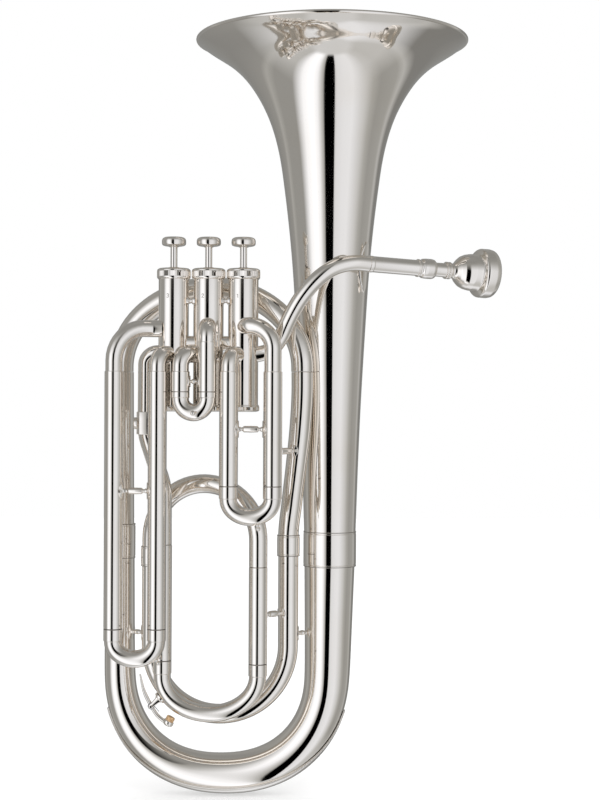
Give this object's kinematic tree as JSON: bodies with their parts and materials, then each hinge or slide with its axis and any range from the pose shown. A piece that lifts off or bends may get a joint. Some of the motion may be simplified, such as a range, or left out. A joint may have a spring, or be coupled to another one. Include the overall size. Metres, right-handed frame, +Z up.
{
  "type": "baritone horn",
  "caption": "Silver-plated three-valve baritone horn held bell up: conical tubing in long loops, top-action piston valves, pull-out slides, water key, leadpipe and cup mouthpiece.",
  "frame": {"origin": "centre of the bounding box in X and Y, at the lowest point of the bottom bow", "axes": "+Z up along the bell's axis towards its mouth, +X towards the mouthpiece, -Y towards the side with the valve slides"},
  "size_m": [0.2995, 0.2064, 0.574],
  "materials": {
    "silver_plate": "silver plate over brass, polished to a mirror",
    "spring_steel": "drawn spring wire, satin",
    "cork": "bare cork, matte"
  },
  "bodies": {
    "horn": {"bell": "silver_plate", "bell_ferrule": "silver_plate", "bell_stay": "silver_plate", "bottom_bow": "silver_plate", "bottom_cap_1": "silver_plate", "bottom_cap_2": "silver_plate", "bottom_cap_3": "silver_plate", "bow_guard": "silver_plate", "branch_ferrule": "silver_plate", "branch_stay": "silver_plate", "connector_1_2": "silver_plate", "connector_2_3": "silver_plate", "inner_bow": "silver_plate", "inner_bow_ferrule": "silver_plate", "leadpipe": "silver_plate", "leadpipe_stay": "silver_plate", "left_leg": "silver_plate", "left_leg_ferrule": "silver_plate", "left_stay": "silver_plate", "lyre_holder": "silver_plate", "mouthpiece_receiver": "silver_plate", "right_branch": "silver_plate", "slide_1_sleeve_left": "silver_plate", "slide_1_sleeve_right": "silver_plate", "slide_1_stay": "silver_plate", "slide_2_sleeve_left": "silver_plate", "slide_2_sleeve_right": "silver_plate", "slide_3_sleeve_left": "silver_plate", "slide_3_sleeve_right": "silver_plate", "slide_3_stay": "silver_plate", "top_bow": "silver_plate", "top_cap_1": "silver_plate", "top_cap_2": "silver_plate", "top_cap_3": "silver_plate", "tuning_sleeve_left": "silver_plate", "tuning_sleeve_right": "silver_plate", "tuning_stay": "silver_plate", "tuning_top_arc": "silver_plate", "valve_3_exit_tube": "silver_plate", "valve_casing_1": "silver_plate", "valve_casing_2": "silver_plate", "valve_casing_3": "silver_plate", "valve_spring_1": "spring_steel", "valve_spring_2": "spring_steel", "valve_spring_3": "spring_steel"},
    "valve_1": {"piston_1": "silver_plate", "finger_button_1": "silver_plate"},
    "valve_2": {"piston_2": "silver_plate", "finger_button_2": "silver_plate"},
    "valve_3": {"piston_3": "silver_plate", "finger_button_3": "silver_plate"},
    "slide_1": {"slide_1": "silver_plate"},
    "slide_2": {"slide_2": "silver_plate"},
    "slide_3": {"slide_3": "silver_plate"},
    "tuning_slide": {"tuning_slide": "silver_plate", "water_key_saddle": "silver_plate"},
    "water_key": {"water_key": "silver_plate", "water_key_cork": "cork"},
    "mouthpiece": {"mouthpiece": "silver_plate"},
    "lyre_screw": {"lyre_screw": "silver_plate"}
  },
  "joints": [
    {"name": "press_valve_1", "type": "slide", "parent": "horn", "child": "valve_1", "axis": [0, 0, -1], "range_m": [0, 0.014], "stiffness_N_per_m": 160, "springref_m": -0.018, "deforming": ["valve_spring_1"]},
    {"name": "press_valve_2", "type": "slide", "parent": "horn", "child": "valve_2", "axis": [0, 0, -1], "range_m": [0, 0.014], "stiffness_N_per_m": 160, "springref_m": -0.018, "deforming": ["valve_spring_2"]},
    {"name": "press_valve_3", "type": "slide", "parent": "horn", "child": "valve_3", "axis": [0, 0, -1], "range_m": [0, 0.014], "stiffness_N_per_m": 160, "springref_m": -0.018, "deforming": ["valve_spring_3"]},
    {"name": "pull_slide_1", "type": "slide", "parent": "horn", "child": "slide_1", "axis": [0, 0, -1], "range_m": [0, 0.054]},
    {"name": "pull_slide_2", "type": "slide", "parent": "horn", "child": "slide_2", "axis": [0, 0, -1], "range_m": [0, 0.01]},
    {"name": "pull_slide_3", "type": "slide", "parent": "horn", "child": "slide_3", "axis": [0, 0, -1], "range_m": [0, 0.115]},
    {"name": "pull_tuning_slide", "type": "slide", "parent": "horn", "child": "tuning_slide", "axis": [0, 0, -1], "range_m": [0, 0.05]},
    {"name": "open_water_key", "type": "hinge", "parent": "tuning_slide", "child": "water_key", "pos_m": [-0.1103, -0.033, 0.0725], "axis": [0, 1, 0], "range_deg": [0, 12], "stiffness_Nm_per_rad": 0.02, "springref_deg": -28.65},
    {"name": "pull_mouthpiece", "type": "slide", "parent": "horn", "child": "mouthpiece", "axis": [0.9263, 0.3746, -0.0419], "range_m": [0, 0.026]},
    {"name": "turn_lyre_screw", "type": "hinge", "parent": "horn", "child": "lyre_screw", "pos_m": [-0.1153, -0.0434, 0.2822], "axis": [1, 0, 0], "continuous": true}
  ]
}
